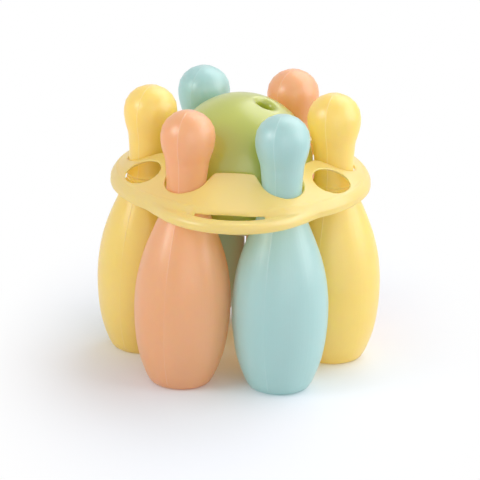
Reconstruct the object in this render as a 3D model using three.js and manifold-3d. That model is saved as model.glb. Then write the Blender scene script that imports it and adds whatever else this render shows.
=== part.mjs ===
// Kids bowling set, standing as it is stored and carried.
// Six hollow pins stand in a ring. A domed carrier ring holds them by their necks, and the ball is
// nested between the necks, so it locks the pins in their notches.
// Millimetres, +Z up. The origin is on the floor under the middle of the set, the two handles lie
// along Y, and the first pin stands on +X.
import * as THREE from 'three';
import { mergeVertices } from 'three/addons/utils/BufferGeometryUtils.js';
import Module from 'manifold-3d';

const wasm = await Module();
wasm.setup();

// Pin: radii and heights of the moulding, measured along its own axis from the foot
const PIN_COUNT = 6;
const FOOT_RADIUS = 22.7;
const BODY_RADIUS = 37.8;
const NECK_RADIUS = 15.5;
const THROAT_RADIUS = 16.5;
const HEAD_RADIUS = 21.1;
const WIDEST_HEIGHT = 60;
const SHOULDER_HEIGHT = 144.5;
const NECK_RISE = 12.5;
const THROAT_RISE = 18.5;
const HEAD_RISE = 25;
const CROWN = 19.5;

// Double ring where the neck meets the shoulder
const LOWER_RING_RADIUS = 17.6;
const UPPER_RING_RADIUS = 17;
const RING_GROOVE_RADIUS = 16.5;
const RING_PITCH = 3.2;
const RING_WIDTH = 1.8;

// Foot recess, wall and vent of the blown shells
const PIN_WALL = 2;
const FOOT_RECESS_RADIUS = 13;
const FOOT_RECESS_DEPTH = 1.6;
const VENT_RADIUS = 1.5;

// Ball
const BALL_RADIUS = 57.4;
const BALL_WALL = 2.4;
const BALL_ABOVE_SHOULDER = 13.5;
const SOCKET_RADIUS = 8.4;
const SOCKET_LIP = 3.6;
const SOCKET_DEPTH = 17;
const THUMB_GAP = 3;
const FINGER_GAP = 1;
const THUMB_TILT = 20.5;
const THUMB_TURN = -15;
const GRIP_TURN = 105;

// Room between the pieces
const PIN_GAP = 1;
const BALL_CLEARANCE = 0.33;
const NOTCH_CLEARANCE = 0.9;
const OVERRUN = 20;

// Carrier: dome, tabs about the ball, and the rim outside the notches
const DOME_RADIUS = 195;
const DOME_ABOVE_SHOULDER = 37.3;
const PLATE = 3;
const TAB_CLEARANCE = 3.6;
const TAB_CORNER = 3;
const RIM_WEB = 13.1;
const RIM_WALL = 4.6;
const RIM_BELOW_SHOULDER = 3;
const RIM_ROUND = 5;

// Oval holes in the four side tabs
const HOLE_EDGE = 1.3;
const HOLE_ACROSS = 16.3;
const HOLE_ALONG = 13.1;

// Handles: a round bar that follows an arc past the rim, with a finger slot behind it
const HANDLE_REACH = 19.8;
const HANDLE_RADIUS = 66.3;
const HANDLE_WIDTH = 13;
const HANDLE_HEIGHT = 10.8;
const HANDLE_ROUND = 3.6;
const SLOT_DEPTH = 10.1;

// Facets
const PIN_SIDES = 24;
const HOLLOW_SIDES = 12;
const BALL_SIDES = 30;
const SOCKET_SIDES = 14;
const CARRIER_SIDES = 48;
const DOME_ROWS = 4;
const CURVE_SIDES = 6;

const COLOURS = {
  yellow: 0xf4d987,
  coral: 0xf4ab82,
  blue: 0xb0dcdb,
  mint: 0x9fdcd6,
  carrier: 0xf6e4a0,
  ball: 0xc2dd94,
};

function asSolid(geometry) {
  const bare = geometry.clone();
  bare.deleteAttribute('normal');
  bare.deleteAttribute('uv');
  const merged = mergeVertices(bare, 1e-4);
  const index = merged.index.array;
  const triangles = [];
  for (let i = 0; i < index.length; i += 3) {
    const [a, b, c] = [index[i], index[i + 1], index[i + 2]];
    if (a !== b && b !== c && c !== a) triangles.push(a, b, c);
  }
  return new wasm.Manifold(new wasm.Mesh({
    numProp: 3,
    vertProperties: new Float32Array(merged.attributes.position.array),
    triVerts: new Uint32Array(triangles),
  }));
}

function asGeometry(solid) {
  const mesh = solid.getMesh();
  const geometry = new THREE.BufferGeometry();
  geometry.setAttribute('position', new THREE.BufferAttribute(new Float32Array(mesh.vertProperties), 3));
  geometry.setIndex(new THREE.BufferAttribute(new Uint32Array(mesh.triVerts), 1));
  geometry.computeVertexNormals();
  return geometry;
}

// A solid of revolution about Z, from [radius, height] points given from bottom to top
function turned(points, sides) {
  const profile = points.map(([radius, height]) => new THREE.Vector2(radius, height));
  return asSolid(new THREE.LatheGeometry(profile, sides).rotateX(Math.PI / 2));
}

function rod(radius, low, high, sides) {
  return turned([[0, low], [radius, low], [radius, high], [0, high]], sides);
}

// A plate standing on the XY plane, raised to its height
function slab(shape, low, high) {
  const plate = new THREE.ExtrudeGeometry(shape, {
    depth: high - low,
    bevelEnabled: false,
    curveSegments: CURVE_SIDES,
  });
  return asSolid(plate.translate(0, 0, low));
}

// Outline of the pin from its foot to the crown of its head

const NECK_HEIGHT = SHOULDER_HEIGHT + NECK_RISE;
const THROAT_HEIGHT = NECK_HEIGHT + THROAT_RISE;
const HEAD_HEIGHT = THROAT_HEIGHT + HEAD_RISE;

// Height and radius shares between the foot and the widest place
const bellyShares = [[0.067, 0.22], [0.16, 0.39], [0.3, 0.6], [0.46, 0.77], [0.7, 0.92], [1, 1]];

// Height and radius shares between the widest place and the shoulder
const flankShares = [[0.2, 0.97], [0.36, 0.875], [0.5, 0.735], [0.63, 0.555], [0.76, 0.34], [0.88, 0.135]];

// Height and radius shares between the throat and the widest place of the head
const cheekShares = [[0.2, 0.14], [0.42, 0.5], [0.65, 0.83], [1, 1]];

// Angles up the crown, as shares of a quarter turn
const crownShares = [0.25, 0.48, 0.68, 0.86];

function between(low, high, share) {
  return low + (high - low) * share;
}

function bodyOutline() {
  const belly = bellyShares.map(([up, out]) => [
    between(FOOT_RADIUS, BODY_RADIUS, out),
    WIDEST_HEIGHT * up,
  ]);
  const flank = flankShares.map(([up, out]) => [
    between(LOWER_RING_RADIUS, BODY_RADIUS, out),
    between(WIDEST_HEIGHT, SHOULDER_HEIGHT, up),
  ]);
  return [...belly, ...flank];
}

function headOutline() {
  const cheek = cheekShares.map(([up, out]) => [
    between(THROAT_RADIUS, HEAD_RADIUS, out),
    between(THROAT_HEIGHT, HEAD_HEIGHT, up),
  ]);
  const crown = crownShares.map((share) => [
    HEAD_RADIUS * Math.cos(share * Math.PI / 2),
    HEAD_HEIGHT + CROWN * Math.sin(share * Math.PI / 2),
  ]);
  return [[THROAT_RADIUS, THROAT_HEIGHT], ...cheek, ...crown];
}

function ringOutline() {
  const lower = SHOULDER_HEIGHT + RING_WIDTH / 2;
  const upper = lower + RING_PITCH;
  return [
    [LOWER_RING_RADIUS, lower - RING_WIDTH / 2],
    [LOWER_RING_RADIUS, lower + RING_WIDTH / 2],
    [RING_GROOVE_RADIUS, (lower + upper) / 2],
    [UPPER_RING_RADIUS, upper],
    [(UPPER_RING_RADIUS + NECK_RADIUS) / 2, upper + RING_WIDTH],
    [NECK_RADIUS, NECK_HEIGHT],
  ];
}

function pinSolid() {
  const outside = turned([
    [0, FOOT_RECESS_DEPTH],
    [FOOT_RECESS_RADIUS - FOOT_RECESS_DEPTH, FOOT_RECESS_DEPTH],
    [FOOT_RECESS_RADIUS, 0],
    [FOOT_RADIUS, 0],
    ...bodyOutline(),
    ...ringOutline(),
    ...headOutline(),
    [0, HEAD_HEIGHT + CROWN],
  ], PIN_SIDES);
  const floor = FOOT_RECESS_DEPTH + PIN_WALL;
  const inside = (point) => [point[0] - PIN_WALL, point[1]];
  const body = bodyOutline().filter((point) => point[1] > floor).map(inside);
  const hollow = turned([
    [0, floor],
    [FOOT_RADIUS - PIN_WALL, floor],
    ...body,
    inside([NECK_RADIUS, SHOULDER_HEIGHT]),
    inside([NECK_RADIUS, NECK_HEIGHT]),
    inside([THROAT_RADIUS, THROAT_HEIGHT]),
    inside([HEAD_RADIUS, HEAD_HEIGHT]),
    inside([HEAD_RADIUS * Math.SQRT1_2, HEAD_HEIGHT + CROWN * Math.SQRT1_2 - PIN_WALL / 2]),
    [0, HEAD_HEIGHT + CROWN - PIN_WALL],
  ], HOLLOW_SIDES);
  const vent = rod(VENT_RADIUS, -OVERRUN, OVERRUN, SOCKET_SIDES);
  return outside.subtract(hollow).subtract(vent);
}

// How the pins lean. The bodies stand side by side, and the heads lean in until the double ring
// comes to the ball, so the ball decides how far from the middle the necks are.

const BODY_CIRCLE = (2 * BODY_RADIUS + PIN_GAP) / (2 * Math.sin(Math.PI / PIN_COUNT));
const BALL_HEIGHT = SHOULDER_HEIGHT + BALL_ABOVE_SHOULDER;

function neckDistance(radius, height) {
  const rise = BALL_HEIGHT - height;
  const reach = Math.sqrt(Math.max(BALL_RADIUS ** 2 - rise ** 2, 0));
  return reach + BALL_CLEARANCE + radius;
}

const RING_HEIGHT = SHOULDER_HEIGHT + RING_WIDTH / 2 + RING_PITCH;

function leanOfPins() {
  let lean = 0;
  for (let pass = 0; pass < 12; pass += 1) {
    const slope = Math.tan(lean);
    const needed = [...bodyOutline(), ...ringOutline(), ...headOutline()].map(([radius, height]) => (
      neckDistance(radius / Math.cos(lean), height) + (height - RING_HEIGHT) * slope
    ));
    const circle = Math.max(...needed);
    lean = Math.atan((BODY_CIRCLE - circle) / (RING_HEIGHT - WIDEST_HEIGHT));
  }
  return lean;
}

const LEAN = leanOfPins();
const PIN_LIFT = FOOT_RADIUS * Math.sin(Math.abs(LEAN));

// Distance of a pin's axis from the middle at a height over the floor
function axisCircle(height) {
  return BODY_CIRCLE - (height - WIDEST_HEIGHT) * Math.tan(LEAN);
}

// Ball: a blown shell with three blind sockets, one for the thumb and two for the fingers

// Angle between two sockets whose cups keep a gap at their floors
function angleApart(gap) {
  const floor = BALL_RADIUS - SOCKET_DEPTH - BALL_WALL;
  return 2 * Math.asin((SOCKET_RADIUS + BALL_WALL + gap / 2) / floor);
}

function socketFrames() {
  const radians = THREE.MathUtils.degToRad;
  const reach = angleApart(THUMB_GAP);
  const spread = Math.asin(Math.sin(angleApart(FINGER_GAP) / 2) / Math.sin(reach));
  const toThumb = new THREE.Matrix4().makeRotationZ(radians(THUMB_TURN));
  toThumb.multiply(new THREE.Matrix4().makeRotationY(radians(THUMB_TILT)));
  toThumb.multiply(new THREE.Matrix4().makeRotationZ(radians(GRIP_TURN)));
  const fingers = [-spread, spread].map((turn) => (
    toThumb.clone()
      .multiply(new THREE.Matrix4().makeRotationZ(turn))
      .multiply(new THREE.Matrix4().makeRotationY(reach))
  ));
  return [toThumb, ...fingers];
}

function aimed(solid, frame) {
  return solid.transform(frame.elements);
}

function ballSolid() {
  const outside = asSolid(new THREE.SphereGeometry(BALL_RADIUS, BALL_SIDES, BALL_SIDES / 2));
  const hollow = asSolid(new THREE.SphereGeometry(BALL_RADIUS - BALL_WALL, BALL_SIDES / 2, BALL_SIDES / 4));
  const floor = BALL_RADIUS - SOCKET_DEPTH;
  const cup = rod(SOCKET_RADIUS + BALL_WALL, floor - BALL_WALL, BALL_RADIUS - BALL_WALL / 2, SOCKET_SIDES);
  const bore = turned([
    [0, floor],
    [SOCKET_RADIUS - BALL_WALL, floor],
    [SOCKET_RADIUS, floor + BALL_WALL],
    [SOCKET_RADIUS, BALL_RADIUS - 2 * SOCKET_LIP],
    [SOCKET_RADIUS + SOCKET_LIP / 4, BALL_RADIUS - SOCKET_LIP],
    [SOCKET_RADIUS + SOCKET_LIP, BALL_RADIUS - SOCKET_LIP / 3],
    [SOCKET_RADIUS + SOCKET_LIP, BALL_RADIUS + OVERRUN],
    [0, BALL_RADIUS + OVERRUN],
  ], SOCKET_SIDES);
  const vent = rod(VENT_RADIUS, floor - 2 * BALL_WALL, floor + BALL_WALL, SOCKET_SIDES);
  const frames = socketFrames();
  let ball = outside.subtract(hollow);
  for (const frame of frames) ball = ball.add(aimed(cup, frame));
  for (const frame of frames) ball = ball.subtract(aimed(bore, frame));
  return ball.subtract(aimed(vent, frames[0])).translate([0, 0, BALL_HEIGHT]);
}

// Carrier ring

const DOME_TOP = SHOULDER_HEIGHT + DOME_ABOVE_SHOULDER;
const RIM_BOTTOM = SHOULDER_HEIGHT - RIM_BELOW_SHOULDER;
const OPENING_APOTHEM = BALL_RADIUS + TAB_CLEARANCE;

function domeHeight(radius) {
  return DOME_TOP - DOME_RADIUS + Math.sqrt(DOME_RADIUS ** 2 - radius ** 2);
}

// Where a notch lies: the pin's axis at the height of the plate
function notchCentre() {
  let centre = BODY_CIRCLE;
  for (let pass = 0; pass < 4; pass += 1) centre = axisCircle(domeHeight(centre));
  return centre;
}

// A notch clears the neck at the height of the plate
function notchRadius() {
  const share = (domeHeight(BODY_CIRCLE) - NECK_HEIGHT) / (THROAT_HEIGHT - NECK_HEIGHT);
  return between(NECK_RADIUS, THROAT_RADIUS, share) + NOTCH_CLEARANCE;
}

const RIM_RADIUS = notchCentre() + notchRadius() + RIM_WEB;
const HOLE_CIRCLE = RIM_RADIUS - RIM_WALL - HOLE_EDGE - HOLE_ALONG;
const HANDLE_CENTRE = RIM_RADIUS + HANDLE_REACH - HANDLE_RADIUS;
const SLOT_EDGE = RIM_RADIUS + HANDLE_REACH - HANDLE_WIDTH - SLOT_DEPTH;

function domeSolid() {
  const start = OPENING_APOTHEM - OVERRUN / 4;
  const end = RIM_RADIUS - RIM_ROUND;
  const radii = Array.from({ length: DOME_ROWS + 1 }, (_, row) => between(start, end, row / DOME_ROWS));
  const top = radii.map((radius) => [radius, domeHeight(radius)]);
  const under = radii.filter((radius) => radius < RIM_RADIUS - RIM_WALL - PLATE);
  const bottom = under.map((radius) => [radius, domeHeight(radius) - PLATE]);
  const brow = domeHeight(end);
  const chamfer = RIM_ROUND / 4;
  const inner = RIM_RADIUS - RIM_WALL;
  return turned([
    ...bottom,
    [inner, domeHeight(inner) - PLATE - chamfer],
    [inner, RIM_BOTTOM + chamfer],
    [inner + chamfer, RIM_BOTTOM],
    [RIM_RADIUS - chamfer, RIM_BOTTOM],
    [RIM_RADIUS, RIM_BOTTOM + chamfer],
    [RIM_RADIUS, brow - RIM_ROUND],
    [RIM_RADIUS - RIM_ROUND * (1 - Math.SQRT1_2), brow - RIM_ROUND * (1 - Math.SQRT1_2)],
    ...top.reverse(),
    bottom[0],
  ], CARRIER_SIDES);
}

// The opening in the middle: six straight tab edges with a U shaped notch between each two
function openingShape() {
  const centre = notchCentre();
  const half = notchRadius();
  const step = 2 * Math.PI / PIN_COUNT;
  const tabHalf = (OPENING_APOTHEM * Math.sin(step / 2) - half) / Math.cos(step / 2);
  const shape = new THREE.Shape();
  const at = (angle, out, across) => new THREE.Vector2(
    out * Math.cos(angle) - across * Math.sin(angle),
    out * Math.sin(angle) + across * Math.cos(angle),
  );
  for (let k = 0; k < PIN_COUNT; k += 1) {
    const pin = k * step;
    const tab = pin + step / 2;
    const before = at(pin - step / 2, OPENING_APOTHEM, tabHalf);
    const mouth = OPENING_APOTHEM * Math.cos(step / 2) + tabHalf * Math.sin(step / 2);
    const start = at(pin - step / 2, OPENING_APOTHEM, tabHalf - TAB_CORNER);
    const middle = at(pin, centre, 0);
    if (k === 0) shape.moveTo(start.x, start.y);
    else shape.lineTo(start.x, start.y);
    const rise = at(pin, mouth + TAB_CORNER, -half);
    shape.quadraticCurveTo(before.x, before.y, rise.x, rise.y);
    shape.absarc(middle.x, middle.y, half, pin - Math.PI / 2, pin + Math.PI / 2, false);
    const fall = at(pin, mouth + TAB_CORNER, half);
    const after = at(tab, OPENING_APOTHEM, -tabHalf);
    const end = at(tab, OPENING_APOTHEM, TAB_CORNER - tabHalf);
    shape.lineTo(fall.x, fall.y);
    shape.quadraticCurveTo(after.x, after.y, end.x, end.y);
  }
  shape.closePath();
  return shape;
}

function holeShape(angle) {
  const shape = new THREE.Shape();
  const x = HOLE_CIRCLE * Math.cos(angle);
  const y = HOLE_CIRCLE * Math.sin(angle);
  shape.absellipse(x, y, HOLE_ALONG, HOLE_ACROSS, 0, 2 * Math.PI, false, angle);
  return shape;
}

// The bar of one handle, as the band between two arcs about one centre, on the side of -Y
function barShape() {
  const shape = new THREE.Shape();
  const spread = Math.acos((SLOT_EDGE - HANDLE_CENTRE - HANDLE_WIDTH) / HANDLE_RADIUS);
  const inner = HANDLE_RADIUS - HANDLE_WIDTH + HANDLE_ROUND;
  const outer = HANDLE_RADIUS - HANDLE_ROUND;
  const down = -Math.PI / 2;
  shape.absarc(0, -HANDLE_CENTRE, outer, down - spread, down + spread, false);
  shape.absarc(0, -HANDLE_CENTRE, inner, down + spread, down - spread, true);
  shape.closePath();
  return shape;
}

function barSolid() {
  const bar = new THREE.ExtrudeGeometry(barShape(), {
    depth: HANDLE_HEIGHT - 2 * HANDLE_ROUND,
    bevelThickness: HANDLE_ROUND,
    bevelSize: HANDLE_ROUND,
    bevelSegments: 2,
    curveSegments: 2 * CURVE_SIDES,
  });
  return asSolid(bar.translate(0, 0, RIM_BOTTOM + HANDLE_ROUND));
}

// The finger slot, from a straight edge outwards to the handle's bar
function slotShape(edge) {
  const shape = new THREE.Shape();
  const inner = HANDLE_RADIUS - HANDLE_WIDTH;
  const spread = Math.acos((SLOT_EDGE - HANDLE_CENTRE) / inner);
  const half = inner * Math.sin(spread);
  const down = -Math.PI / 2;
  shape.moveTo(-half, -edge);
  shape.lineTo(-half, -SLOT_EDGE);
  shape.absarc(0, -HANDLE_CENTRE, inner, down - spread, down + spread, false);
  shape.lineTo(half, -edge);
  shape.closePath();
  return shape;
}

function carrierSolid() {
  const top = DOME_TOP + OVERRUN;
  const low = RIM_BOTTOM - OVERRUN;
  const turn = (solid) => solid.rotate([0, 0, 180]);
  const slot = slab(slotShape(SLOT_EDGE), low, top);
  const relief = slab(slotShape(SLOT_EDGE - 2 * RIM_WALL), low, domeHeight(SLOT_EDGE) - PLATE);
  let ring = domeSolid();
  for (const side of [(solid) => solid, turn]) {
    ring = ring.subtract(side(slot)).subtract(side(relief)).add(side(barSolid()));
  }
  ring = ring.subtract(slab(openingShape(), low, top));
  const tab = Math.PI / PIN_COUNT;
  for (const angle of [tab, Math.PI - tab, Math.PI + tab, -tab]) {
    ring = ring.subtract(slab(holeShape(angle), low, top));
  }
  return ring;
}

// The set

function plastic(colour) {
  return new THREE.MeshStandardMaterial({ color: colour, roughness: 0.42, metalness: 0 });
}

function piece(name, solid, colour) {
  const mesh = new THREE.Mesh(asGeometry(solid), plastic(colour));
  mesh.name = name;
  return mesh;
}

// Pins in order round the ring, turning left from +X
const PINS = [
  ['pin_yellow_right', COLOURS.yellow],
  ['pin_coral_back', COLOURS.coral],
  ['pin_mint_back', COLOURS.mint],
  ['pin_yellow_left', COLOURS.yellow],
  ['pin_coral_front', COLOURS.coral],
  ['pin_blue_front', COLOURS.blue],
];

const set = new THREE.Group();
set.add(piece('carrier_ring', carrierSolid(), COLOURS.carrier));
set.add(piece('ball', ballSolid(), COLOURS.ball));

const pin = pinSolid();
PINS.forEach(([name, colour], k) => {
  const stand = new THREE.Group();
  stand.rotation.z = k * 2 * Math.PI / PIN_COUNT;
  const mesh = piece(name, pin, colour);
  mesh.rotation.y = -LEAN;
  mesh.position.set(axisCircle(0), 0, PIN_LIFT);
  stand.add(mesh);
  set.add(stand);
});

export default set;
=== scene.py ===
"""Looks of the kids bowling set: six blow moulded pins, a ball and their carrier ring.

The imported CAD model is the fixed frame. Every moulding here stands for the CAD node of the same
piece, lies where that node lies and rides on its body. Metres, +Z up, origin on the floor.
"""
import math

import bpy
import numpy as np
import openvdb
from mathutils import Matrix, Vector


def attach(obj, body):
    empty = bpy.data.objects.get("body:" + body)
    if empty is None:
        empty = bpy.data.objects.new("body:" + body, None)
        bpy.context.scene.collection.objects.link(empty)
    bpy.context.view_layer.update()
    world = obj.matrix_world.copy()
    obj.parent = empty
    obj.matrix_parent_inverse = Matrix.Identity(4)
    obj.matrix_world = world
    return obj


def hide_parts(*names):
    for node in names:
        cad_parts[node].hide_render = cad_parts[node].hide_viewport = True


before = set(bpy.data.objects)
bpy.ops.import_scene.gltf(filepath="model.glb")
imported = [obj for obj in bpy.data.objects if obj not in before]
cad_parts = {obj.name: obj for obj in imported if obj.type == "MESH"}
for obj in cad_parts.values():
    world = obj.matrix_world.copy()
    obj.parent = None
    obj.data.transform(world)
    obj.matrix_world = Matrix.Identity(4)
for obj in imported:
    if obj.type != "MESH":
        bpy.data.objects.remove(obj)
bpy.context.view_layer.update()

MM = 0.001

# Pin, along its own axis from the foot
PIN_COUNT = 6
FOOT_RADIUS = 22.7 * MM
BODY_RADIUS = 37.7 * MM
NECK_RADIUS = 15.5 * MM
THROAT_RADIUS = 16.5 * MM
HEAD_RADIUS = 21.1 * MM
WIDEST_HEIGHT = 60 * MM
SHOULDER_HEIGHT = 144.5 * MM
NECK_RISE = 12.5 * MM
THROAT_RISE = 18.5 * MM
HEAD_RISE = 25 * MM
NECK_HEIGHT = SHOULDER_HEIGHT + NECK_RISE
THROAT_HEIGHT = NECK_HEIGHT + THROAT_RISE
HEAD_HEIGHT = THROAT_HEIGHT + HEAD_RISE
CROWN = 19.25 * MM
RECESS_RADIUS = 13 * MM
RECESS_DEPTH = 1.6 * MM
FOOT_ROUND = 1.4 * MM
VENT_RADIUS = 2 * MM
PIN_WALL = 2 * MM

# Height and radius shares from the foot to the widest place, and on to the shoulder
belly_shares = [(0.067, 0.22), (0.16, 0.39), (0.3, 0.6), (0.46, 0.77), (0.7, 0.92), (1, 1)]
flank_shares = [(0.2, 0.97), (0.36, 0.875), (0.5, 0.735), (0.63, 0.555), (0.76, 0.34), (0.88, 0.135)]
# Height and radius shares from the throat to the widest place of the head
cheek_shares = [(0.2, 0.14), (0.42, 0.5), (0.65, 0.83)]

# Two rings where the neck meets the shoulder
SHOULDER_RADIUS = 17.8 * MM
RING_RADIUS = 17 * MM
RING_GROOVE_RADIUS = 16.1 * MM
RING_PITCH = 3.1 * MM
RING_START_SHARE = 0.9
RING_DROP = 0.2 * MM
RING_HEIGHT = SHOULDER_HEIGHT - RING_DROP

# Mould seam of a pin: it starts above the foot, and shows less round the widest place
SEAM_HEIGHT = 0.16 * MM
SEAM_WIDTH = 0.38 * MM
SEAM_START = 2 * MM
SEAM_FULL = 5 * MM
SEAM_BELLY_NEAR = 25 * MM
SEAM_BELLY_FAR = 50 * MM
SEAM_BELLY_SHARE = 0.3

# A pin's mesh: steps between two points of its outline, columns round it, crowded at the seam
OUTLINE_STEPS = 5
PIN_COLUMNS = 128
COLUMN_CROWD_SHARE = 0.45
MERGE_DISTANCE = 0.001 * MM

# How the pins stand: side by side at their widest, heads leaning in against the ball
PIN_GAP = 1.2 * MM
LEAN = math.radians(1.638)
BODY_CIRCLE = (2 * BODY_RADIUS + PIN_GAP) / (2 * math.sin(math.pi / PIN_COUNT))
FOOT_CIRCLE = BODY_CIRCLE + WIDEST_HEIGHT * math.tan(LEAN)
PIN_LIFT = FOOT_RADIUS * math.sin(LEAN)

# Ball
BALL_RADIUS = 57.3 * MM
BALL_RISE = 14.3 * MM
BALL_HEIGHT = SHOULDER_HEIGHT + BALL_RISE
BALL_WALL = 2 * MM
SOCKET_RADIUS = 6.8 * MM
SOCKET_DEPTH = 17 * MM
SOCKET_FLOOR_ROUND = 3 * MM
LIP_ROUND = 6 * MM
# The CAD's sockets, by their outer radius and their floor's distance from the ball's middle, set
# how far apart the axes lean
SOCKET_REACH = 10.8 * MM
SOCKET_SEAT = 38 * MM
THUMB_GAP = 3 * MM
FINGER_GAP = 1 * MM
THUMB_TILT = math.radians(20.5)
THUMB_TURN = math.radians(-15)
GRIP_TURN = math.radians(105)

# Carrier ring: dome, opening and rim
DOME_RADIUS = 195 * MM
DOME_RISE = 37.3 * MM
DOME_TOP = SHOULDER_HEIGHT + DOME_RISE
PLATE = 2.4 * MM
EDGE_ROUND = 0.8 * MM
OPENING_APOTHEM = 60.4 * MM
HANDLE_TAB_CORNER = 2 * MM
SIDE_TAB_CORNER = 5 * MM
NOTCH_CIRCLE = 73.5 * MM
NOTCH_RADIUS = 16.9 * MM
RIM_RADIUS = 103.5 * MM
RIM_WALL = 4.6 * MM
RIM_ROUND = 5.5 * MM
RIM_BLEND = 2 * MM
RIM_BOTTOM = SHOULDER_HEIGHT

# Oval holes in the four side tabs
HOLE_ALONG = 12.9 * MM
HOLE_ACROSS = 18 * MM
HOLE_CIRCLE = 83.6 * MM
HOLE_ASIDE = -2 * MM
HOLE_EDGE = 0.8 * MM

# Handle bars and slots, and the rim's wall cut away behind each
HANDLE_RADIUS = 66.3 * MM
HANDLE_CENTRE = 57 * MM
HANDLE_WIDTH = 13 * MM
HANDLE_HEIGHT = 9 * MM
HANDLE_DROP = 2.1 * MM
HANDLE_BOTTOM = SHOULDER_HEIGHT - HANDLE_DROP
HANDLE_ROUND = 4.2 * MM
HANDLE_END_ROUND = 1 * MM
HANDLE_BLEND = 5 * MM
SLOT_EDGE = 100.2 * MM
RELIEF_HALF = 27 * MM
RELIEF_EDGE = 88 * MM
RELIEF_ROUND = 2 * MM
# Apron from a handle tab's edge to its slot, by distance from the middle and height
APRON_INNER = (61 * MM, 171.6 * MM)
APRON_OUTER = (100.2 * MM, 153 * MM)
APRON_BLEND = 1.5 * MM

# Meshing of the ball and the carrier: cells, how many of them a surface's band holds on each side,
# how finely the slope is measured, and the least slope, squared, that a step trusts
BALL_CELL = 1.15 * MM
CARRIER_CELL = 0.9 * MM
BAND_CELLS = 3
SLOPE_STEPS_PER_CELL = 20
LEAST_SLOPE_SQUARED = 0.05
RELAX_ROUNDS = 3
# Further than any place on the set
FAR = 1.0

# Plastic: pattern scales per metre, the range that noise mostly keeps to, and what each adds
DRIFT_SCALE = 22
DRIFT_SHARE = 0.35
PATCH_SCALE = 60
GRAIN_SCALE = 900
GRAIN_SHARE = 0.6
STREAK_SCALE = 14
STREAK_SHARE = 1.6
NOISE_LOW = 0.3
NOISE_HIGH = 0.7
SMOOTHER = 0.02
ROUGHER = 0.03
BUMP_STRENGTH = 0.12
BUMP_DISTANCE = 0.3 * MM
SCATTER_DEPTH = 3 * MM
# How far the seam's painted highlight pales the colour toward white
SEAM_HIGHLIGHT_SHARE = 0.3
# How much of the light passes a thin wall, how much of it scatters, and how far it takes the tint
PASSED_SHARE = 0.9
MILKY_SHARE = 0.22
GLOW_SHARE = 0.5
WHITE = (1, 1, 1, 1)

# Studio: a pale floor that fades to white past an oval, an even glow and four soft lamps
FLOOR_HALF = 3.0
FADE_SIDE = 0.21
FADE_FRONT = 0.36
FADE_START_SHARE = 0.45
FADE_END_SHARE = 1.05
PAPER = (0.77, 0.79, 0.845, 1)
WORLD_LEVEL = 0.46
LAMP_TARGET = (0, 0, 0.1)
# Each lamp's name, place, width and power
LAMPS = [
    ("right_lamp", (1.65, -0.1, 0.95), 1.8, 21.5),
    ("left_lamp", (-1.25, -0.75, 0.95), 0.9, 11.5),
    ("top_lamp", (0.65, 0.85, 1.45), 1.7, 16),
    ("front_lamp", (0.7, -1.75, 0.45), 1.8, 8),
]

# Camera, fitted to the photograph's heads, bodies and feet
CAMERA_ELEVATION = math.radians(20.15)
CAMERA_TURN = math.radians(4.36)
CAMERA_ROLL = math.radians(1.37)
CAMERA_DISTANCE = 1885 * MM
CAMERA_TARGET = (0.65 * MM, 0, 94.47 * MM)
CAMERA_LENS = 175.95
SENSOR_WIDTH = 36
CLIP_END = 20


# Helpers for node trees and objects

def add(tree, kind, inputs=None, **settings):
    """Adds a node, sets its settings, and links or sets its inputs by name or number."""
    made = tree.nodes.new(kind)
    for name, value in settings.items():
        setattr(made, name, value)
    for key, value in (inputs or {}).items():
        if isinstance(value, bpy.types.NodeSocket):
            tree.links.new(value, made.inputs[key])
        else:
            made.inputs[key].default_value = value
    return made


def maths(tree, operation, first, second=0.0, third=0.0):
    """A Math node's result."""
    inputs = {0: first, 1: second, 2: third}
    return add(tree, "ShaderNodeMath", inputs, operation=operation).outputs[0]


def noise(tree, place, scale, detail):
    """A noise value at each place."""
    inputs = {"Vector": place, "Scale": scale, "Detail": detail}
    return add(tree, "ShaderNodeTexNoise", inputs).outputs["Fac"]


def spread_noise(tree, value, low, high):
    """Spreads the range that noise mostly keeps to between two values."""
    inputs = {0: value, 1: NOISE_LOW, 2: NOISE_HIGH, 3: low, 4: high}
    return add(tree, "ShaderNodeMapRange", inputs).outputs[0]


def blend(tree, share, first, second):
    """The first colour, with a share of the second."""
    inputs = {0: share, 6: first, 7: second}
    return add(tree, "ShaderNodeMix", inputs, data_type="RGBA").outputs[2]


def mix_shaders(tree, share, first, second):
    """The first shader, with a share of the second."""
    return add(tree, "ShaderNodeMixShader", {0: share, 1: first, 2: second}).outputs[0]


def store(tree, shell, name, value):
    """Keeps a value at each point of a mesh, under a name that a material can read."""
    inputs = {"Geometry": shell, "Name": name, "Value": value}
    kept = add(tree, "GeometryNodeStoreNamedAttribute", inputs, data_type="FLOAT", domain="POINT")
    return kept.outputs[0]


def bare_tree(owner):
    """The emptied node tree of a material or a world."""
    owner.use_nodes = True
    owner.node_tree.nodes.clear()
    return owner.node_tree


def placed(name, data):
    """A new object in the scene."""
    made = bpy.data.objects.new(name, data)
    bpy.context.scene.collection.objects.link(made)
    return made


# Materials

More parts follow.
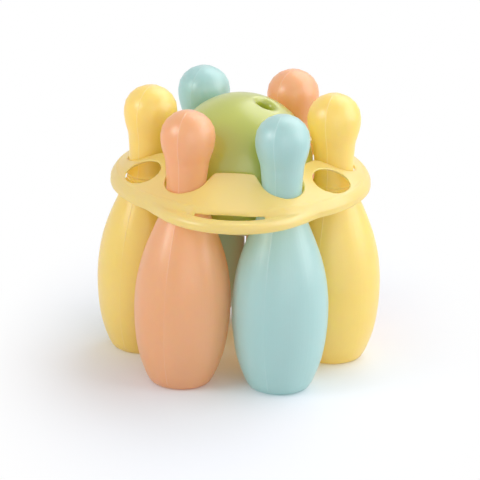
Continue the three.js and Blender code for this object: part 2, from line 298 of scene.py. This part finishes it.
def plastic(name, colour, deep, rough=0.33, coat=0.35, seed=0.0, streaks=False):
    """Satin moulded plastic: a tint that drifts with the wall's thickness, a fine moulded grain
    and, on a blown piece, faint streaks along it and a painted highlight that makes its seam paler."""
    material = bpy.data.materials.new(name)
    tree = bare_tree(material)
    place = add(tree, "ShaderNodeTexCoord").outputs["Object"]
    shifted = add(tree, "ShaderNodeMapping", {"Vector": place, "Location": (seed, seed, 0)}).outputs[0]
    drift = spread_noise(tree, noise(tree, shifted, DRIFT_SCALE, detail=3), 0.0, DRIFT_SHARE)
    tint = blend(tree, drift, colour, deep)
    height = maths(tree, "MULTIPLY", noise(tree, shifted, GRAIN_SCALE, detail=2), GRAIN_SHARE)
    if streaks:
        around = add(tree, "ShaderNodeAttribute", attribute_name="around").outputs["Fac"]
        seam = add(tree, "ShaderNodeAttribute", attribute_name="seam").outputs["Fac"]
        # Painted highlight: the seam's raised ridge is painted paler, as if light caught it
        seam_highlight = blend(tree, 0.5, colour, WHITE)
        tint = blend(tree, maths(tree, "MULTIPLY", seam, SEAM_HIGHLIGHT_SHARE), tint, seam_highlight)
        line = add(tree, "ShaderNodeTexNoise", {"W": around, "Scale": STREAK_SCALE, "Detail": 4},
                   noise_dimensions="1D").outputs["Fac"]
        height = maths(tree, "MULTIPLY_ADD", line, STREAK_SHARE, height)
    patch = noise(tree, shifted, PATCH_SCALE, detail=4)
    bump = add(tree, "ShaderNodeBump",
               {"Height": height, "Strength": BUMP_STRENGTH, "Distance": BUMP_DISTANCE}).outputs[0]
    skin = add(tree, "ShaderNodeBsdfPrincipled", {
        "Base Color": tint,
        "Roughness": spread_noise(tree, patch, rough - SMOOTHER, rough + ROUGHER),
        "Normal": bump,
        "IOR": 1.5,
        "Specular IOR Level": 0.7,
        "Coat Weight": coat,
        "Coat Roughness": 0.3,
        "Subsurface Weight": 0.7,
        "Subsurface Radius": deep[:3],
        "Subsurface Scale": SCATTER_DEPTH,
    }).outputs[0]
    # The thin walls let part of the lamps' light through, tinted, as milky plastic does
    milky = add(tree, "ShaderNodeBsdfTranslucent", {"Color": deep, "Normal": bump}).outputs[0]
    skin = mix_shaders(tree, MILKY_SHARE, skin, milky)
    lamplight = add(tree, "ShaderNodeLightPath").outputs["Is Shadow Ray"]
    glow = blend(tree, GLOW_SHARE, WHITE, colour)
    through = add(tree, "ShaderNodeBsdfTransparent", {"Color": glow}).outputs[0]
    surface = mix_shaders(tree, maths(tree, "MULTIPLY", lamplight, PASSED_SHARE), skin, through)
    add(tree, "ShaderNodeOutputMaterial", {"Surface": surface})
    return material


def linear(red, green, blue):
    """A screen colour, 0 to 255, as the linear values that a shader takes."""
    screen = np.array([red, green, blue]) / 255
    return (*np.where(screen <= 0.04045, screen / 12.92, ((screen + 0.055) / 1.055) ** 2.4), 1.0)


# Each with the tint of its surface and the deeper one that its wall gives
yellow = plastic("yellow_blown_plastic", linear(240, 219, 128), linear(236, 212, 96),
                 seed=0.3, streaks=True)
coral = plastic("coral_blown_plastic", linear(234, 184, 137), linear(229, 174, 115),
                seed=1.1, streaks=True)
blue = plastic("blue_blown_plastic", linear(181, 213, 211), linear(171, 206, 204),
               seed=2.7, streaks=True)
mint = plastic("mint_blown_plastic", linear(180, 214, 213), linear(170, 206, 204),
               seed=4.2, streaks=True)
ball_plastic = plastic("ball_green_plastic", linear(193, 199, 92), linear(183, 190, 70),
                       rough=0.3, coat=1.0, seed=5.9)
carrier_plastic = plastic("carrier_yellow_plastic", linear(233, 214, 139), linear(228, 206, 115),
                          coat=0.25, seed=7.4)


# Pins: an outline turned about its axis by geometry nodes, with the mould's seam

def pin_outline():
    """The pin's wall as a curve: down its inside from the crown to the vent, and up its outside."""
    def between(low, high, share):
        return low + (high - low) * share

    side = [(between(FOOT_RADIUS, BODY_RADIUS, out), WIDEST_HEIGHT * up) for up, out in belly_shares]
    side += [(between(SHOULDER_RADIUS, BODY_RADIUS, out), between(WIDEST_HEIGHT, SHOULDER_HEIGHT, up))
             for up, out in flank_shares]
    # Two rings round the neck, each above a groove, just over the shoulder
    side.append((SHOULDER_RADIUS, RING_HEIGHT - RING_PITCH * RING_START_SHARE))
    for ring in (0, 1):
        height = RING_HEIGHT + ring * RING_PITCH
        side += [(RING_GROOVE_RADIUS, height - RING_PITCH / 2), (RING_RADIUS, height)]
    side += [((RING_RADIUS + NECK_RADIUS) / 2, height + RING_PITCH / 2), (NECK_RADIUS, NECK_HEIGHT)]
    side.append((THROAT_RADIUS, THROAT_HEIGHT))
    side += [(between(THROAT_RADIUS, HEAD_RADIUS, out), between(THROAT_HEIGHT, HEAD_HEIGHT, up))
             for up, out in cheek_shares]
    side.append((HEAD_RADIUS, HEAD_HEIGHT))
    inside = [(radius - PIN_WALL, height) for radius, height in reversed(side)]
    # The foot's underside, from its inner corner by the vent and the recess to its outer corner
    recess = RECESS_RADIUS - RECESS_DEPTH
    foot = [(FOOT_RADIUS - PIN_WALL, RECESS_DEPTH + PIN_WALL), (VENT_RADIUS, RECESS_DEPTH + PIN_WALL)]
    foot += [(VENT_RADIUS, RECESS_DEPTH), (recess, RECESS_DEPTH), (RECESS_RADIUS, 0), (FOOT_RADIUS, 0)]
    top = HEAD_HEIGHT + CROWN
    points = [(0, top - PIN_WALL), *inside, *foot, *side, (0, top)]
    curve = bpy.data.curves.new("pin_outline", "CURVE")
    curve.dimensions = "3D"
    curve.resolution_u = OUTLINE_STEPS
    spline = curve.splines.new("BEZIER")
    spline.bezier_points.add(len(points) - 1)
    for knot, (radius, height) in zip(spline.bezier_points, points):
        knot.co = (radius, 0, height)
        knot.handle_left_type = knot.handle_right_type = "AUTO"
    flats = spline.bezier_points[1 + len(inside):1 + len(inside) + len(foot)]
    for knot in flats:
        knot.handle_left_type = knot.handle_right_type = "VECTOR"
    # The outer corner of the foot is rounded by the handle that leaves it along the floor
    flats[-1].handle_right_type = "FREE"
    flats[-1].handle_right = (FOOT_RADIUS + FOOT_ROUND, 0, 0)
    round_off(spline.bezier_points[1], spline.bezier_points[0], rising=False)
    round_off(spline.bezier_points[-2], spline.bezier_points[-1], rising=True)
    return placed("pin_outline", curve)


def round_off(cheek, crown, rising):
    """Makes the stretch between the widest place of the head and its crown a quarter of an ellipse."""
    arc_share = 0.5523
    radius, _, height = cheek.co
    rise = crown.co[2] - height
    for knot in (cheek, crown):
        knot.handle_left_type = knot.handle_right_type = "FREE"
    below = (radius, 0, height - rise * arc_share / 2)
    above = (radius, 0, height + rise * arc_share)
    cheek.handle_left, cheek.handle_right = (below, above) if rising else (above, below)
    crown.handle_left = crown.handle_right = (radius * arc_share, 0, crown.co[2])


def named_inputs(tree, sockets):
    """Adds the tree's inputs and its geometry output, and returns the outputs of its input node."""
    for name, kind in sockets:
        tree.interface.new_socket(name, in_out="INPUT", socket_type=kind)
    tree.interface.new_socket("Geometry", in_out="OUTPUT", socket_type="NodeSocketGeometry")
    return add(tree, "NodeGroupInput").outputs


def pin_tree():
    """Turns an outline into a pin, raises its seam, and stands the pin in its place."""
    tree = bpy.data.node_groups.new("turned_pin", "GeometryNodeTree")
    given = named_inputs(tree, [
        ("Outline", "NodeSocketObject"),
        ("Columns", "NodeSocketInt"),
        ("Seam Height", "NodeSocketFloat"),
        ("Seam Width", "NodeSocketFloat"),
        ("Seam Turn", "NodeSocketFloat"),
        ("Lean", "NodeSocketFloat"),
        ("Circle", "NodeSocketFloat"),
        ("Lift", "NodeSocketFloat"),
        ("Turn", "NodeSocketFloat"),
        ("Material", "NodeSocketMaterial"),
    ])
    # A grid with a row for each point of the outline, and one more column than there are steps round
    outline = add(tree, "GeometryNodeObjectInfo", {"Object": given["Outline"]}).outputs["Geometry"]
    outline = add(tree, "GeometryNodeResampleCurve", {"Curve": outline}, mode="EVALUATED").outputs[0]
    rows = add(tree, "GeometryNodeAttributeDomainSize", {"Geometry": outline}, component="CURVE")
    rows = rows.outputs["Point Count"]
    columns = maths(tree, "ADD", given["Columns"], 1.0)
    grid = add(tree, "GeometryNodeMeshGrid", {"Vertices X": columns, "Vertices Y": rows}).outputs["Mesh"]
    index = add(tree, "GeometryNodeInputIndex").outputs[0]
    row = maths(tree, "MODULO", index, rows)
    column = maths(tree, "FLOOR", maths(tree, "DIVIDE", index, rows))
    position = add(tree, "GeometryNodeInputPosition").outputs[0]
    sample = add(tree, "GeometryNodeSampleIndex", {"Geometry": outline, "Value": position, "Index": row},
                 data_type="FLOAT_VECTOR", domain="POINT").outputs[0]
    sample = add(tree, "ShaderNodeSeparateXYZ", {0: sample}).outputs
    turn = maths(tree, "MULTIPLY", maths(tree, "DIVIDE", column, given["Columns"]), 2 * math.pi)
    # The columns crowd together at the two sides of the seam
    crowd = maths(tree, "SINE", maths(tree, "MULTIPLY", turn, 2.0))
    crowd = maths(tree, "MULTIPLY", crowd, -COLUMN_CROWD_SHARE)
    turn = maths(tree, "ADD", turn, crowd)
    across = maths(tree, "MULTIPLY", sample["X"], maths(tree, "COSINE", turn))
    along = maths(tree, "MULTIPLY", sample["X"], maths(tree, "SINE", turn))
    place = add(tree, "ShaderNodeCombineXYZ", {0: across, 1: along, 2: sample["Z"]}).outputs[0]
    shell = store(tree, grid, "around", turn)
    shell = add(tree, "GeometryNodeSetPosition", {"Geometry": shell, "Position": place}).outputs[0]
    shell = add(tree, "GeometryNodeMergeByDistance",
                {"Geometry": shell, "Distance": MERGE_DISTANCE}).outputs[0]
    # Seam: a low ridge where the two halves of the mould meet, off the foot
    here = add(tree, "ShaderNodeSeparateXYZ", {0: position}).outputs
    away = maths(tree, "DIVIDE", here["Y"], given["Seam Width"])
    ridge = maths(tree, "EXPONENT", maths(tree, "MULTIPLY", maths(tree, "MULTIPLY", away, away), -1.0))
    off_foot = {0: here["Z"], 1: SEAM_START, 2: SEAM_FULL}
    ridge = maths(tree, "MULTIPLY", ridge, add(tree, "ShaderNodeMapRange", off_foot).outputs[0])
    # It shows less round the widest place, where the wall was blown out the most
    off_belly = maths(tree, "ABSOLUTE", maths(tree, "SUBTRACT", here["Z"], WIDEST_HEIGHT))
    off_belly = {0: off_belly, 1: SEAM_BELLY_NEAR, 2: SEAM_BELLY_FAR, 3: SEAM_BELLY_SHARE, 4: 1.0}
    ridge = maths(tree, "MULTIPLY", ridge, add(tree, "ShaderNodeMapRange", off_belly).outputs[0])
    shell = store(tree, shell, "seam", ridge)
    normal = add(tree, "GeometryNodeInputNormal").outputs[0]
    raised = add(tree, "ShaderNodeVectorMath",
                 {0: normal, "Scale": maths(tree, "MULTIPLY", ridge, given["Seam Height"])},
                 operation="SCALE").outputs[0]
    shell = add(tree, "GeometryNodeSetPosition", {"Geometry": shell, "Offset": raised}).outputs[0]
    # Into place: turn the seam, lean in, stand on the circle
    seam_turn = add(tree, "ShaderNodeCombineXYZ", {2: given["Seam Turn"]}).outputs[0]
    shell = add(tree, "GeometryNodeTransform", {"Geometry": shell, "Rotation": seam_turn}).outputs[0]
    lean = add(tree, "ShaderNodeCombineXYZ", {1: maths(tree, "MULTIPLY", given["Lean"], -1.0)}).outputs[0]
    stand = add(tree, "ShaderNodeCombineXYZ", {0: given["Circle"], 2: given["Lift"]}).outputs[0]
    shell = add(tree, "GeometryNodeTransform",
                {"Geometry": shell, "Rotation": lean, "Translation": stand}).outputs[0]
    turned = add(tree, "ShaderNodeCombineXYZ", {2: given["Turn"]}).outputs[0]
    shell = add(tree, "GeometryNodeTransform", {"Geometry": shell, "Rotation": turned}).outputs[0]
    shell = add(tree, "GeometryNodeSetShadeSmooth", {"Geometry": shell}).outputs[0]
    shell = add(tree, "GeometryNodeRealizeInstances", {"Geometry": shell}).outputs[0]
    shell = add(tree, "GeometryNodeSetMaterial",
                {"Geometry": shell, "Material": given["Material"]}).outputs[0]
    add(tree, "NodeGroupOutput", {"Geometry": shell})
    return tree


def grown(name, tree, values):
    """Runs a geometry nodes tree with these inputs and returns the result as a plain mesh object."""
    seed = placed(name + "_seed", bpy.data.meshes.new(name + "_seed"))
    modifier = seed.modifiers.new("shape", "NODES")
    modifier.node_group = tree
    for item in tree.interface.items_tree:
        if item.item_type == "SOCKET" and item.in_out == "INPUT":
            modifier[item.identifier] = values[item.name]
    bpy.context.view_layer.update()
    mesh = bpy.data.meshes.new_from_object(seed.evaluated_get(bpy.context.evaluated_depsgraph_get()))
    mesh.name = name
    bpy.data.objects.remove(seed)
    return placed(name, mesh)


# Each pin's node, plastic and slot, and by how many degrees its seam is turned from the camera's side
PINS = [
    ("pin_yellow_right", yellow, "yellow_plastic", -21),
    ("pin_coral_back", coral, "coral_plastic", -38),
    ("pin_mint_back", mint, "mint_plastic", -30),
    ("pin_yellow_left", yellow, "yellow_plastic", -28),
    ("pin_coral_front", coral, "coral_plastic", -20.5),
    ("pin_blue_front", blue, "blue_plastic", -19.5),
]
CAMERA_SIDE = CAMERA_TURN - math.pi / 2


def make_pins():
    """The six pins, the first on +X and the others leftwards round the ring."""
    outline = pin_outline()
    tree = pin_tree()
    for place, (node, material, slot, seam) in enumerate(PINS):
        turn = place * 2 * math.pi / PIN_COUNT
        pin = grown(node + "_moulding", tree, {
            "Outline": outline,
            "Columns": PIN_COLUMNS,
            "Seam Height": SEAM_HEIGHT,
            "Seam Width": SEAM_WIDTH,
            "Seam Turn": CAMERA_SIDE + math.radians(seam) - turn,
            "Lean": LEAN,
            "Circle": FOOT_CIRCLE,
            "Lift": PIN_LIFT,
            "Turn": turn,
            "Material": material,
        })
        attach(pin, node)
        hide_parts(node)
    bpy.data.objects.remove(outline)


# Smooth solids from distance fields: negative inside, zero on the surface

def round_max(first, second, radius):
    """Where both fields are inside, with the edge rounded to a radius."""
    outside = np.hypot(np.maximum(first + radius, 0), np.maximum(second + radius, 0))
    return np.minimum(np.maximum(first, second), -radius) + outside


def round_min(first, second, radius):
    """Where either field is inside, with the corner between them filled to a radius."""
    return -round_max(-first, -second, radius)


def soft_min(first, second, width):
    """Where either field is inside, blended over a width."""
    near = np.maximum(width - np.abs(first - second), 0) / width
    return np.minimum(first, second) - near * near * width / 4


def soft_max(first, second, width):
    """Where both fields are inside, blended over a width."""
    return -soft_min(-first, -second, width)


def gradient(points, field, step):
    """The field's slope at each point, along x, y and z."""
    rises = [field(*(points + shift).T) - field(*(points - shift).T) for shift in np.eye(3) * step]
    return np.stack(rises, axis=1) / (2 * step)


def settle(points, field, step, passes=4):
    """Moves points onto the field's surface."""
    for _ in range(passes):
        value = field(*points.T)
        slope = gradient(points, field, step)
        size = np.maximum((slope ** 2).sum(axis=1), LEAST_SLOPE_SQUARED)
        points = points - slope * (value / size)[:, None]
    return points


def relax(points, edges, field, step):
    """Evens out the points along the surface."""
    total = np.zeros_like(points)
    count = np.zeros(len(points))
    for a, b in ((0, 1), (1, 0)):
        np.add.at(total, edges[:, a], points[edges[:, b]])
        np.add.at(count, edges[:, a], 1)
    return settle((points + total / count[:, None]) / 2, field, step, passes=2)


def solid_from_field(name, field, low, high, cell):
    """A closed mesh of the surface where the field is zero, between two corners."""
    margin = BAND_CELLS * cell
    axes = [np.arange(a - margin, b + margin, cell) for a, b in zip(low, high)]
    x, y = np.meshgrid(axes[0], axes[1], indexing="ij")
    values = np.stack([field(x, y, np.full_like(x, z)) for z in axes[2]], axis=2)
    grid = openvdb.FloatGrid(BAND_CELLS)
    grid.copyFromArray(np.clip(values / cell, -BAND_CELLS, BAND_CELLS).astype(np.float32))
    points, quads = grid.convertToQuads(isovalue=0)
    points = points.astype(float) * cell + [axis[0] for axis in axes]
    edges = np.concatenate([quads[:, [0, 1]], quads[:, [1, 2]], quads[:, [2, 3]], quads[:, [3, 0]]])
    edges = np.unique(np.sort(edges, axis=1), axis=0)
    step = cell / SLOPE_STEPS_PER_CELL
    points = settle(points, field, step)
    for _ in range(RELAX_ROUNDS):
        points = relax(points, edges, field, step)
    mesh = bpy.data.meshes.new(name)
    mesh.from_pydata(points.tolist(), [], quads.tolist())
    mesh.shade_smooth()
    return placed(name, mesh)


# Ball: a sphere with a thumb socket and two finger sockets

def socket_axes():
    """Directions of the sockets from the ball's middle, thumb first."""
    def apart(gap):
        return 2 * math.asin((SOCKET_REACH + gap / 2) / SOCKET_SEAT)

    reach = apart(THUMB_GAP)
    spread = math.asin(math.sin(apart(FINGER_GAP) / 2) / math.sin(reach))
    thumb = Matrix.Rotation(THUMB_TURN, 3, "Z") @ Matrix.Rotation(THUMB_TILT, 3, "Y")
    grip = thumb @ Matrix.Rotation(GRIP_TURN, 3, "Z")
    lean = Matrix.Rotation(reach, 3, "Y")
    fingers = [grip @ Matrix.Rotation(turn, 3, "Z") @ lean for turn in (-spread, spread)]
    return [np.array(turned @ Vector((0, 0, 1))) for turned in (thumb, *fingers)]


SOCKET_AXES = socket_axes()


def ball_field(x, y, z):
    """The ball's hollow shell, its sockets with soft lips, and a vent underneath."""
    z = z - BALL_HEIGHT
    whole = np.sqrt(x * x + y * y + z * z) - BALL_RADIUS
    for axis in SOCKET_AXES:
        along = x * axis[0] + y * axis[1] + z * axis[2]
        out = np.sqrt(np.maximum(x * x + y * y + z * z - along * along, 0))
        floor = BALL_RADIUS - SOCKET_DEPTH - along
        bore = round_max(out - SOCKET_RADIUS, floor, SOCKET_FLOOR_ROUND)
        whole = round_max(whole, -bore, LIP_ROUND)
    shell = np.maximum(whole, -whole - BALL_WALL)
    vent = np.maximum(np.hypot(x, y) - VENT_RADIUS, z)
    return np.maximum(shell, -vent)


def make_ball():
    reach = np.full(3, BALL_RADIUS)
    centre = np.array([0, 0, BALL_HEIGHT])
    ball = solid_from_field("ball_moulding", ball_field, centre - reach, centre + reach, BALL_CELL)
    ball.data.materials.append(ball_plastic)
    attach(ball, "ball")
    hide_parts("ball")


# Carrier ring: a domed plate with notches and holes, a rounded rim and two handle bars

def carrier_field(x, y, z):
    """The carrier, the same on both sides of x and of y."""
    out = np.hypot(x, y)
    side = np.abs(y)
    rise = z - DOME_TOP + DOME_RADIUS
    top = np.sqrt(out * out + rise * rise) - DOME_RADIUS
    # The apron from each handle tab's edge to its slot is flatter and steeper than the dome
    run = APRON_OUTER[0] - APRON_INNER[0]
    drop = APRON_INNER[1] - APRON_OUTER[1]
    length = math.hypot(run, drop)
    apron = ((side - APRON_INNER[0]) * drop + (z - APRON_INNER[1]) * run) / length
    top = soft_max(top, apron, APRON_BLEND)
    outer = round_max(top, out - RIM_RADIUS, RIM_ROUND)
    plate = np.maximum(outer, -top - PLATE)
    wall = np.maximum(outer, RIM_RADIUS - RIM_WALL - out)
    relief = np.maximum(np.abs(x) - RELIEF_HALF, RELIEF_EDGE - side)
    wall = round_max(wall, -relief, RELIEF_ROUND)
    ring = soft_min(plate, wall, RIM_BLEND)
    ring = round_max(ring, -opening(x, y), EDGE_ROUND)
    # The holes widen below their thin upper edge
    widening = np.maximum(-top - HOLE_EDGE, 0)
    ring = round_max(ring, widening - side_holes(x, y), HOLE_EDGE / 2)
    ring = round_max(ring, RIM_BOTTOM - z, EDGE_ROUND)
    bar = np.hypot(x, side - HANDLE_CENTRE)
    ring = soft_min(ring, handle_bar(bar, z, out), HANDLE_BLEND)
    slot = np.maximum(SLOT_EDGE - side, bar - HANDLE_RADIUS + HANDLE_WIDTH)
    return round_max(ring, -slot, EDGE_ROUND / 2)


def handle_bar(bar, z, out):
    """The band between two arcs, with rounded edges, outside the rim's inner face."""
    across = np.abs(bar - HANDLE_RADIUS + HANDLE_WIDTH / 2) - HANDLE_WIDTH / 2
    up = np.abs(z - HANDLE_BOTTOM - HANDLE_HEIGHT / 2) - HANDLE_HEIGHT / 2
    band = round_max(across, up, HANDLE_ROUND)
    return round_max(band, RIM_RADIUS - RIM_WALL - out, HANDLE_END_ROUND)


def opening(x, y):
    """The opening in the middle: six straight tab edges with a notch between each two."""
    step = 2 * math.pi / PIN_COUNT
    tabs = np.full_like(x, -FAR)
    notches = np.full_like(x, FAR)
    for k in range(PIN_COUNT):
        tab = (k + 0.5) * step
        tabs = np.maximum(tabs, x * math.cos(tab) + y * math.sin(tab) - OPENING_APOTHEM)
        ahead = x * math.cos(k * step) + y * math.sin(k * step)
        aside = y * math.cos(k * step) - x * math.sin(k * step)
        notch = np.hypot(np.maximum(ahead - NOTCH_CIRCLE, 0), aside) - NOTCH_RADIUS
        notches = np.minimum(notches, np.where(ahead > 0, notch, FAR))
    corner = np.where(np.abs(y) > np.abs(x) * math.tan(step), HANDLE_TAB_CORNER, SIDE_TAB_CORNER)
    return round_min(tabs, notches, corner)


def side_holes(x, y):
    """The oval holes in the four side tabs."""
    tab = math.pi / PIN_COUNT
    ahead = np.abs(x) * math.cos(tab) + np.abs(y) * math.sin(tab) - HOLE_CIRCLE
    aside = np.abs(y) * math.cos(tab) - np.abs(x) * math.sin(tab) - HOLE_ASIDE
    size = np.hypot(ahead / HOLE_ALONG, aside / HOLE_ACROSS)
    # Divided by its slope, which is nothing in the hole's middle, to make it near enough a distance
    slope = np.hypot(ahead / HOLE_ALONG ** 2, aside / HOLE_ACROSS ** 2)
    return (size - 1) * size / np.maximum(slope, 1.0)


def make_carrier():
    reach = HANDLE_CENTRE + HANDLE_RADIUS
    low = (-RIM_RADIUS, -reach, HANDLE_BOTTOM)
    high = (RIM_RADIUS, reach, DOME_TOP)
    carrier = solid_from_field("carrier_moulding", carrier_field, low, high, CARRIER_CELL)
    carrier.data.materials.append(carrier_plastic)
    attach(carrier, "carrier")
    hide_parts("carrier_ring")


# Studio: pale floor, soft lamps, camera

def seen_ray(tree):
    """One for a ray that brings the picture what it sees, straight, mirrored or through a wall."""
    path = add(tree, "ShaderNodeLightPath").outputs
    seen = maths(tree, "MAXIMUM", path["Is Camera Ray"], path["Is Glossy Ray"])
    return maths(tree, "MAXIMUM", seen, path["Is Transmission Ray"])


def floor_material():
    """Pale floor that keeps the shadow and fades to white away from the object."""
    material = bpy.data.materials.new("studio_floor")
    tree = bare_tree(material)
    place = add(tree, "ShaderNodeTexCoord").outputs["Object"]
    shape = add(tree, "ShaderNodeMapping",
                {"Vector": place, "Scale": (1 / FADE_SIDE, 1 / FADE_FRONT, 1)}).outputs[0]
    away = add(tree, "ShaderNodeVectorMath", {0: shape}, operation="LENGTH").outputs["Value"]
    fade = add(tree, "ShaderNodeMapRange", {0: away, 1: FADE_START_SHARE, 2: FADE_END_SHARE},
               interpolation_type="SMOOTHSTEP").outputs[0]
    paper = add(tree, "ShaderNodeBsdfDiffuse", {"Color": PAPER}).outputs[0]
    white = add(tree, "ShaderNodeEmission", {"Color": WHITE, "Strength": 1.0}).outputs[0]
    mixed = mix_shaders(tree, maths(tree, "MULTIPLY", fade, seen_ray(tree)), paper, white)
    add(tree, "ShaderNodeOutputMaterial", {"Surface": mixed})
    return material


def make_floor():
    mesh = bpy.data.meshes.new("floor")
    corners = [(-1, -1), (1, -1), (1, 1), (-1, 1)]
    mesh.from_pydata([(a * FLOOR_HALF, b * FLOOR_HALF, 0) for a, b in corners], [], [(0, 1, 2, 3)])
    mesh.materials.append(floor_material())
    placed("floor", mesh)


def make_world():
    """White where it is seen, and an even glow where it lights the set."""
    world = bpy.data.worlds.new("studio")
    tree = bare_tree(world)
    light = add(tree, "ShaderNodeBackground", {"Color": WHITE, "Strength": WORLD_LEVEL}).outputs[0]
    white = add(tree, "ShaderNodeBackground", {"Color": WHITE, "Strength": 1.0}).outputs[0]
    mixed = mix_shaders(tree, seen_ray(tree), light, white)
    add(tree, "ShaderNodeOutputWorld", {"Surface": mixed})
    bpy.context.scene.world = world


def softbox(name, place, width, power):
    """A round soft lamp, aimed at the set."""
    light = bpy.data.lights.new(name, "AREA")
    light.shape = "DISK"
    light.size = width
    light.energy = power
    lamp = placed(name, light)
    lamp.location = place
    lamp.rotation_euler = (Vector(LAMP_TARGET) - Vector(place)).to_track_quat("-Z", "Y").to_euler()


def make_camera():
    level = Matrix.Rotation(math.pi / 2 - CAMERA_ELEVATION, 4, "X")
    turn = Matrix.Rotation(CAMERA_TURN, 4, "Z")
    roll = Matrix.Rotation(CAMERA_ROLL, 4, "Z")
    back = Matrix.Translation((0, 0, CAMERA_DISTANCE))
    data = bpy.data.cameras.new("camera")
    data.lens = CAMERA_LENS
    data.sensor_width = SENSOR_WIDTH
    data.clip_end = CLIP_END
    camera = placed("camera", data)
    camera.matrix_world = turn @ Matrix.Translation(CAMERA_TARGET) @ level @ back @ roll
    bpy.context.scene.camera = camera


make_pins()
make_ball()
make_carrier()
make_floor()
make_world()
for lamp_values in LAMPS:
    softbox(*lamp_values)
make_camera()
bpy.context.scene.view_settings.view_transform = "Standard"
